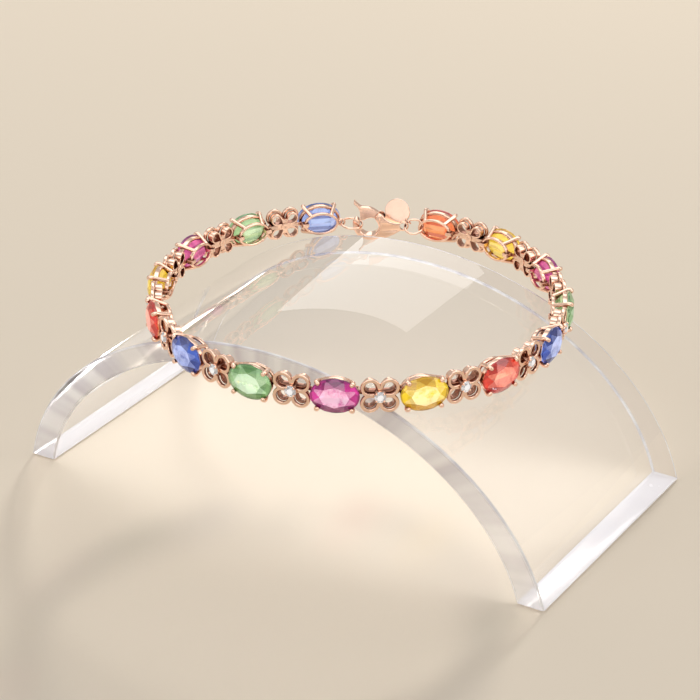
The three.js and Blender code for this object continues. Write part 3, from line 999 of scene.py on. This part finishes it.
def makeLinkMesh(cfg, eyes, rail):
    solids = []
    for low, high, drawIn, closeIn, edge in cfg["layers"].values():
        solids.append(plateMesh(petalLoops(cfg, drawIn, closeIn), low, high, edge, 3))
    solids.append(turnedMesh(roundCorners(cfg["collet"], cfg["colletRounding"], 2)))
    beyond, levels, radii = zip(*cfg["beadPath"])
    path = [(cfg["beadOut"] + out, 0, level) for out, level in zip(beyond, levels)]
    post = wireMesh(path, radii)
    solids += turnedCopies(post, (45, 135, 225, 315))
    solids += eyeMeshes(eyes, rail, 1) + eyeMeshes(eyes, rail, -1)
    core = cfg["core"]
    solids.append(rodMesh((0, 0, core["low"]), (0, 0, core["high"]), core["radius"], 16))
    bore = rodMesh((0, 0, cfg["boreFloor"] + cfg["bore"]), (0, 0, farOut), cfg["bore"], 32)
    whole = combine(solids, [bore])
    markRecess(whole, partial(inPetalOpening, cfg))
    return whole


def inPetalOpening(cfg, face):
    # the walls that face the middle of a petal's opening, and the gallery's ledge, which get painted shade
    recess, normal, middle = cfg["recess"], face.normal, face.center
    signX, signY = math.copysign(1, middle.x), math.copysign(1, middle.y)
    fromMiddle = Vector((abs(middle.x) - cfg["petalX"], abs(middle.y) - cfg["petalY"]))
    inward = fromMiddle.dot(Vector((signX * normal.x, signY * normal.y))) < 0
    wall = abs(normal.z) < recess["lean"] and inward and middle.z < recess["top"]
    ledge = normal.z >= recess["lean"] and abs(middle.z) < recess["ledge"]
    return wall or ledge


def markRecess(mesh, test):
    # the marked faces get painted shade in the rose gold
    marks = mesh.attributes.new("recess", "FLOAT", "FACE")
    for face in mesh.polygons:
        marks.data[face.index].value = 1.0 if test(face) else 0.0


def addUnits():
    stone = cutStone(ovalStone)
    spark = cutStone(roundStone)
    settingMesh = makeSettingMesh(setting)
    firstMesh = combine([settingMesh.copy(), makeEndEye(setting)])
    linkMesh = makeLinkMesh(flower, hingeEye, setting["base"])
    print("one setting:", len(settingMesh.polygons), "faces; one link:", len(linkMesh.polygons), "faces")
    for place in range(stoneCount):
        colour = ringPlan["colours"][place % len(ringPlan["colours"])]
        tag = f"{colour}_{place // len(ringPlan['colours']) + 1}"
        seat = onRing(ringPlan["firstStone"] + place * ringPlan["stoneStep"])
        held = settingMesh if place else firstMesh
        seatPiece("claw_setting_" + tag, held, seat, [roseGold], ["setting_" + tag])
        seatPiece("cut_stone_" + tag, stone, seat, [gems[colour]], ["stone_" + tag],
                  shade=0)
    for place in range(stoneCount - 1):
        number = f"{place + 1:02d}"
        seat = onRing(ringPlan["firstStone"] + (place + 0.5) * ringPlan["stoneStep"])
        seatPiece("petal_link_" + number, linkMesh, seat, [roseGold], ["flower_link_" + number])
        seatPiece("white_stone_" + number, spark, seat, [whiteStone], [], shade=0)
    print("stones, settings and links seated")


addUnits()

# clasp and lever, in the clasp's own frame; angles are in quarter turns
clasp = {
    "shift": -0.15,
    "depthIn": -1.75,
    # place along the clasp, half thickness
    "topRows": ((-4.6, 0.2), (-3.1, 0.26), (-2.2, 0.7), (-1.2, 0.95), (1.0, 1.0), (2.4, 0.84), (2.9, 0.66),
                (4.3, 0.5)),
    "edge": 0.3,
    "neck": {"x": -3.62, "radius": 0.79, "hole": 0.57, "halfThickness": 0.2, "halfHeight": 0.5,
             "edge": 0.12},
    "shoulder": -2.6,
    "knuckle": {"x": -0.1, "y": 1.25, "radius": 0.72, "turns": (1.8, -0.1)},
    "opening": {"x": 1.5, "y": -0.05, "radius": 1.48, "turns": (2, 4.1)},
    "hook": {"x": 3.47, "y": 0.42, "radius": 0.5, "turns": (1.8, 0)},
    "belly": {"x": 1.45, "y": 0.08, "radius": 2.52, "turns": (0, -1.15)},
    # where the stretches between the arcs are pulled to
    "shoulderPull": (-1.6, 0.75),
    "throatPull": (0.1, 0.6),
    "tailPull": (-1.2, -1.95),
    "pin": {"radius": 0.2, "half": 0.98},
    "slot": {"left": -0.85, "right": 2.35, "floor": 0.4, "ceiling": 3.4, "half": 0.5,
             "edge": 0.01},
}
lever = {
    "half": 0.42,
    "edge": 0.1,
    "boreClearance": 0.08,
    "heel": 0.47,
    "heelTurns": (1.1, 2.9),
    # corners from the heel round the toe and the thumb tab, each bend's pull before its end
    "insidePull": (1.4, 1.55),
    "inside": (2.3, 0.7),
    "toeLow": (2.86, 0.7),
    "toeHigh": (2.86, 1.05),
    "waist": (2.94, 1.9),
    "tabPull": (3.1, 2.7),
    "tabLow": (3.9, 3.2),
    "tabHigh": (3.88, 3.72),
    "backPull": (3.2, 2.95),
    "back": (2.7, 2.8),
    "crown": (1.7, 2.78),
    "heelPull": (0.7, 2.6),
}
quarter = math.pi / 2


def arc(x, y, radius, start, end, steps):
    spread = [start + (end - start) * step / steps for step in range(steps + 1)]
    return [(x + radius * math.cos(a), y + radius * math.sin(a)) for a in spread]


def arcOf(cfg, steps):
    start, end = cfg["turns"]
    return arc(cfg["x"], cfg["y"], cfg["radius"], start * quarter, end * quarter, steps)


def bent(start, pull, end, steps=10):
    ends = Vector(start), Vector(pull), Vector(end)
    return [tuple(pulled(*ends, step / steps)) for step in range(1, steps)]


def claspOutline(cfg):
    neck = cfg["neck"]
    start, shoulder = (neck["x"], neck["halfHeight"]), (cfg["shoulder"], neck["halfHeight"])
    finish = (neck["x"], -neck["halfHeight"])
    knuckle, inside = arcOf(cfg["knuckle"], 16), arcOf(cfg["opening"], 30)
    tip, under = arcOf(cfg["hook"], 14), arcOf(cfg["belly"], 26)
    path = [start, shoulder] + bent(shoulder, cfg["shoulderPull"], knuckle[0]) + knuckle
    path += bent(knuckle[-1], cfg["throatPull"], inside[0], 6) + inside + tip + under
    return path + bent(under[-1], cfg["tailPull"], finish, 14) + [finish]


def shapeThickness(mesh, rows):
    # scales the thickness along x through the rows, smoothly
    for vertex in mesh.vertices:
        x = vertex.co.x
        for (x0, h0), (x1, h1) in zip(rows, rows[1:]):
            if x0 <= x <= x1:
                t = (x - x0) / (x1 - x0)
                t = t * t * (3 - 2 * t)
                vertex.co.z *= h0 + (h1 - h0) * t
                break


def makeClaspMesh(cfg):
    neck, knuckle, pin, slot = cfg["neck"], cfg["knuckle"], cfg["pin"], cfg["slot"]
    flesh = plateMesh([claspOutline(cfg)], -1, 1, cfg["edge"], 5)
    shapeThickness(flesh, cfg["topRows"])
    ring = arc(neck["x"], 0, neck["radius"], 0, 4 * quarter, 40)[:-1]
    eye = plateMesh([ring], -neck["halfThickness"], neck["halfThickness"], neck["edge"], 3)
    hole = rodMesh((neck["x"], 0, -farOut), (neck["x"], 0, farOut), neck["hole"], 40)
    opening = rectangle(slot["left"], slot["floor"], slot["right"], slot["ceiling"])
    gap = plateMesh([opening], -slot["half"], slot["half"], slot["edge"], 1)
    whole = combine([flesh, eye], [hole, gap])
    x, y, half = knuckle["x"], knuckle["y"], pin["half"]
    return combine([whole, rodMesh((x, y, -half), (x, y, half), pin["radius"], 20)])


def leverOutline(cfg, pivot):
    start, end = cfg["heelTurns"]
    heel = arc(pivot["x"], pivot["y"], cfg["heel"], start * quarter, end * quarter, 14)
    path = heel + bent(heel[-1], cfg["insidePull"], cfg["inside"], 14)
    path += [cfg["inside"], cfg["toeLow"], cfg["toeHigh"], cfg["waist"]]
    path += bent(cfg["waist"], cfg["tabPull"], cfg["tabLow"], 8)
    path += [cfg["tabLow"], cfg["tabHigh"]]
    path += bent(cfg["tabHigh"], cfg["backPull"], cfg["back"], 8)
    path += [cfg["back"], cfg["crown"]]
    return path + bent(cfg["crown"], cfg["heelPull"], heel[0], 12)


def makeLeverMesh(cfg, pivot, pin):
    x, y = pivot["x"], pivot["y"]
    bar = plateMesh([leverOutline(cfg, pivot)], -cfg["half"], cfg["half"], cfg["edge"], 3)
    bore = rodMesh((x, y, -farOut), (x, y, farOut), pin["radius"] + cfg["boreClearance"], 20)
    return combine([bar], [bore])


# the two rings and the tag, in the frame of the gap that the clasp fills
jumpRings = {
    "clasp_ring": {"radius": 1.58, "wire": 0.17, "place": (4.02, -0.1, -1.75), "tilt": (84, -4, 4)},
    "tag_ring": {"radius": 1.34, "wire": 0.16, "place": (-5.35, 0.0, -1.8), "tilt": (60, -6, 0)},
}
tag = {
    "halfLength": 2.05,
    "halfHeight": 1.85,
    "thickness": 0.3,
    "edge": 0.1,
    "tilt": (20, -30, 30),
    "ringDegrees": 45,
    "bailRadius": 0.46,
    "bailWire": 0.12,
    "beyondEdge": 0.28,
}


def tilted(place, tilt):
    turn = Euler([math.radians(t) for t in tilt], "XYZ").to_matrix().to_4x4()
    return Matrix.Translation(place) @ turn


def makeTagMesh(cfg):
    nearEnd = cfg["beyondEdge"] + cfg["halfLength"]
    oval = [(cfg["halfLength"] * x + nearEnd, cfg["halfHeight"] * y) for x, y, _ in circle(1, 72)]
    plate = plateMesh([oval], -cfg["thickness"] / 2, cfg["thickness"] / 2, cfg["edge"], 3)
    bail = ringMesh(circle(cfg["bailRadius"], 28, "XZ"), cfg["bailWire"])
    return combine([plate, bail])


def addClaspEnd():
    spare = 360 - (stoneCount - 1) * ringPlan["stoneStep"]
    seat = onRing(ringPlan["firstStone"] - spare / 2)
    inClasp = seat @ Matrix.Translation((clasp["shift"], 0, clasp["depthIn"]))
    bodyMesh = makeClaspMesh(clasp)
    leverMesh = makeLeverMesh(lever, clasp["knuckle"], clasp["pin"])
    seatPiece("lobster_clasp", bodyMesh, inClasp, [roseGold], ["clasp_body"])
    seatPiece("thumb_lever", leverMesh, inClasp, [roseGold], ["clasp_lever"], leverBody)
    for name, cfg in jumpRings.items():
        mesh = ringMesh(circle(cfg["radius"], 56), cfg["wire"], 16)
        place = tilted(cfg["place"], cfg["tilt"])
        seatPiece("round_" + name, mesh, seat @ place, [roseGold], [name], shade=60)
    cfg = jumpRings["tag_ring"]
    a = math.radians(tag["ringDegrees"])
    lean = math.radians(cfg["tilt"][0])
    x, y, z = cfg["place"]
    out = cfg["radius"] * math.sin(a)
    hang = (x + cfg["radius"] * math.cos(a), y + out * math.cos(lean), z + out * math.sin(lean))
    # a low shade angle keeps the flat faces of the tag flat to the light
    inTag = seat @ tilted(hang, tag["tilt"])
    seatPiece("blank_tag", makeTagMesh(tag), inTag, [roseGold], ["tag"], shade=8)
    print("clasp, rings and tag seated")


addClaspEnd()

stand = {
    "height": 27.6,
    "halfWidth": 43.4,
    "rise": 32.9,
    "depth": 40.0,
    "thickness": 3.0,
    "footThickness": 4.0,
    "edge": 0.3,
    "footLift": 0.6,  # share of the edge that the sheet's ends stand above the floor before they round off
    "steps": 140,
    "sawnFacing": 0.99,  # faces turned this far to the front or back are the sawn edges
    "roundedFacing": 0.1,  # and beyond this, their rounded corners
}


def standSection(cfg, share, drawIn):
    # one slice across the sheet: its outer line, its inner line and the section's corners
    low = cfg["height"] - cfg["rise"]
    spots = []
    for halfWidth, rise in ((cfg["halfWidth"], cfg["rise"]),
                            (cfg["halfWidth"] - cfg["footThickness"], cfg["rise"] - cfg["thickness"])):
        start = math.asin(-low / rise)
        a = start + (math.pi - 2 * start) * share
        spots.append(Vector((halfWidth * math.cos(a), 0, low + rise * math.sin(a))))
    outer, inner = spots
    across = (outer - inner).normalized()
    half = (outer - inner).length / 2 - drawIn
    deep = cfg["depth"] / 2 - drawIn
    outline = roundCorners(rectangle(-half, -deep, half, deep), cfg["edge"], 4)
    middle = (outer + inner) / 2
    return [middle + across * p[0] + Vector((0, p[1], 0)) for p in outline]


def makeStandMesh(cfg):
    bm = bmesh.new()
    rings = []
    shares = [(step / cfg["steps"], 0) for step in range(cfg["steps"] + 1)]
    shares = [(0, cfg["edge"])] + shares + [(1, cfg["edge"])]
    lift = cfg["edge"] * cfg["footLift"]
    for place, (share, drawIn) in enumerate(shares):
        ring = [bm.verts.new(p) for p in standSection(cfg, share, drawIn)]
        if place in (1, len(shares) - 2):
            for vertex in ring:
                vertex.co.z += lift
        rings.append(ring)
    skinRings(bm, rings, False)
    bm.faces.new(rings[0])
    bm.faces.new(rings[-1])
    return meshFrom(bm)


def addStand():
    mesh = makeStandMesh(stand)
    place = Matrix.Translation(archFoot) @ Matrix.Scale(mm, 4)
    piece = seatPiece("clear_stand", mesh, place, [clearSheet, cutEdge, footFace],
                      ["display_arch"], shade=30)
    along = piece.data.attributes.new("alongSheet", "FLOAT", "POINT")
    for vertex in piece.data.vertices:
        spot = vertex.co - archFoot
        along.data[vertex.index].value = math.atan2(spot.z, spot.x)
    for face in piece.data.polygons:
        if face.center.z < stand["edge"] * mm:
            face.material_index = 2
        elif abs(face.normal.y) > stand["sawnFacing"]:
            face.material_index = 1
        elif abs(face.normal.y) > stand["roundedFacing"]:
            face.material_index = 2
    print("stand made:", len(mesh.polygons), "faces")


addStand()

studio = {
    "floor": (0.74, 0.665, 0.56, 1),
    "floorHalf": 6,
    "floorDrop": 0.00005,
    "skyLow": (0.80, 0.73, 0.66, 1),
    "skyHigh": (0.95, 0.94, 0.93, 1),
    "skyFrom": -0.1,  # how far up the sky turns from low to high, 1 being straight up
    "skyTo": 0.7,
    "skyStrength": 0.60,
}
# lamps give the light and the shadows; polished surfaces see the panels instead
lampAim = (0, 0, 0.02)
lamps = {
    "window": {"place": (-0.21, 0.84, 0.52), "size": 0.13, "power": 5.2, "colour": (1.0, 0.94, 0.86)},
    "softbox": {"place": (-0.5, -0.55, 0.62), "size": 0.5, "power": 0.9, "colour": (1.0, 0.98, 0.97)},
}
# a small lit card whose corner shows, bent, in the top of the sheet; it lights nothing
card = {
    "corner": (-0.046, 0.183, 0.184),
    "along": (-0.37, -0.60, -0.71),
    "across": (-0.08, 0.78, -0.62),
    "size": (0.14, 0.06),  # along, across
    "power": 0.034,
    "colour": (1.0, 0.98, 0.95),
}
# pale panels beyond the scene: compass heading and height in degrees; half width, half height, softness
panels = {
    "frontLeft": {"heading": 200.0, "height": 30.0, "size": (0.6, 0.4, 0.2), "glow": (1.3, 1.28, 1.25, 1)},
    "left": {"heading": 122.0, "height": 25.0, "size": (0.35, 0.4, 0.3), "glow": (1.1, 1.08, 1.05, 1)},
    "right": {"heading": 285.0, "height": 25.0, "size": (0.3, 0.4, 0.15), "glow": (1.8, 1.75, 1.7, 1)},
    "overhead": {"heading": 0.0, "height": 80.0, "size": (0.9, 0.5, 0.3), "glow": (1.5, 1.5, 1.5, 1)},
}


def addFloor(cfg):
    bm = bmesh.new()
    bmesh.ops.create_grid(bm, x_segments=1, y_segments=1, size=cfg["floorHalf"])
    mesh = meshFrom(bm)
    floor = newObject("floor", mesh)
    material, tree = newMaterial("paleFloor")
    surface = addNode(tree, "ShaderNodeBsdfPrincipled", Roughness=0.9)
    setInputs(surface, {"Base Color": cfg["floor"], "Specular IOR Level": 0.1})
    showSurface(tree, surface, "BSDF")
    mesh.materials.append(material)
    floor.location.z = -cfg["floorDrop"]


def addLamp(name, cfg):
    data = bpy.data.lights.new(name, "AREA")
    data.shape = "DISK"
    data.size = cfg["size"]
    data.energy = cfg["power"]
    data.color = cfg["colour"]
    lamp = newObject(name, data)
    lamp.visible_glossy = False
    lamp.location = cfg["place"]
    aim = Vector(lampAim) - lamp.location
    lamp.rotation_euler = aim.to_track_quat("-Z", "Y").to_euler()


def addCard(cfg):
    along = Vector(cfg["along"]).normalized()
    facing = along.cross(Vector(cfg["across"])).normalized()
    across = facing.cross(along)
    data = bpy.data.lights.new("card", "AREA")
    data.shape = "RECTANGLE"
    data.size, data.size_y = cfg["size"]
    data.energy = cfg["power"]
    data.color = cfg["colour"]
    middle = Vector(cfg["corner"]) + along * data.size / 2 + across * data.size_y / 2
    if facing.dot(middle) < 0:
        facing, along = -facing, -along
    lamp = newObject("card", data)
    lamp.matrix_world = Matrix.Translation(middle) @ Matrix((along, across, facing)).transposed().to_4x4()
    lamp.visible_camera = False
    lamp.visible_diffuse = False
    lamp.visible_transmission = False


def makeSoftPanel():
    # a glowing rectangle far away, its middle straight along the turned +y
    tree, given, out = newGroup(
        "softPanel",
        [("Direction", "NodeSocketVector", (0, 0, 0)), ("Turn", "NodeSocketVector", (0, 0, 0)),
         ("Half Width", "NodeSocketFloat", 0.3), ("Half Height", "NodeSocketFloat", 0.3),
         ("Softness", "NodeSocketFloat", 0.05), ("Glow", "NodeSocketColor", (1, 1, 1, 1))],
        [("Color", "NodeSocketColor")],
    )
    turned = addNode(tree, "ShaderNodeVectorRotate", rotation_type="EULER_XYZ", invert=True)
    split = addNode(tree, "ShaderNodeSeparateXYZ")
    ahead = addMath(tree, "MAXIMUM")
    ahead.inputs[1].default_value = 0.001
    tint = addBlend(tree)
    tint.inputs["A"].default_value = (0, 0, 0, 1)
    share = addMath(tree, "MULTIPLY")
    join(given, "Direction", turned, "Vector")
    join(given, "Turn", turned, "Rotation")
    join(turned, "Vector", split, "Vector")
    join(split, "Y", ahead, 0)
    for place, (axis, half) in enumerate((("X", "Half Width"), ("Z", "Half Height"))):
        slope = addMath(tree, "DIVIDE")
        size = addMath(tree, "ABSOLUTE")
        inside = addMath(tree, "SUBTRACT")
        edge = addMath(tree, "DIVIDE", use_clamp=True)
        join(split, axis, slope, 0)
        join(ahead, "Value", slope, 1)
        join(slope, "Value", size, 0)
        join(given, half, inside, 0)
        join(size, "Value", inside, 1)
        join(inside, "Value", edge, 0)
        join(given, "Softness", edge, 1)
        join(edge, "Value", share, place)
    join(share, "Value", tint, "Factor")
    join(given, "Glow", tint, "B")
    join(tint, "Result", out, "Color")
    return tree


def addSurroundings(cfg):
    # paler overhead than at the horizon, with panels for polished metal to show
    world = bpy.data.worlds.new("studio")
    bpy.context.scene.world = world
    world.use_nodes = True
    tree = world.node_tree
    place = addNode(tree, "ShaderNodeTexCoord")
    split = addNode(tree, "ShaderNodeSeparateXYZ")
    height = addNode(tree, "ShaderNodeMapRange", interpolation_type="SMOOTHSTEP")
    setInputs(height, {"From Min": cfg["skyFrom"], "From Max": cfg["skyTo"]})
    blend = addBlend(tree)
    strength = cfg["skyStrength"]
    setInputs(blend, {"A": [v * strength for v in cfg["skyLow"]],
                      "B": [v * strength for v in cfg["skyHigh"]]})
    backdrop = tree.nodes["Background"]
    ray = addNode(tree, "ShaderNodeLightPath")
    seen = addBlend(tree)
    join(place, "Generated", split, "Vector")
    join(split, "Z", height, "Value")
    join(height, "Result", blend, "Factor")
    total = blend
    softPanel = makeSoftPanel()
    for panel in panels.values():
        heading, up = [math.radians(panel[key]) for key in ("heading", "height")]
        width, tall, soft = panel["size"]
        turn = (Matrix.Rotation(heading, 3, "Z") @ Matrix.Rotation(up, 3, "X")).to_euler()
        node = useGroup(tree, softPanel, Turn=turn, Softness=soft, Glow=panel["glow"],
                        **{"Half Width": width, "Half Height": tall})
        both = addBlend(tree, blend_type="ADD")
        both.inputs["Factor"].default_value = 1.0
        join(place, "Generated", node, "Direction")
        join(total, "Result", both, "A")
        join(node, "Color", both, "B")
        total = both
    # the panels are for polished pieces; they add nothing to the light on the floor
    join(ray, "Is Diffuse Ray", seen, "Factor")
    join(total, "Result", seen, "A")
    join(blend, "Result", seen, "B")
    join(seen, "Result", backdrop, "Color")
    bpy.context.scene.view_settings.view_transform = "Standard"


addFloor(studio)
for lampName, lampCfg in lamps.items():
    addLamp(lampName, lampCfg)
addCard(card)
addSurroundings(studio)
print("studio set")
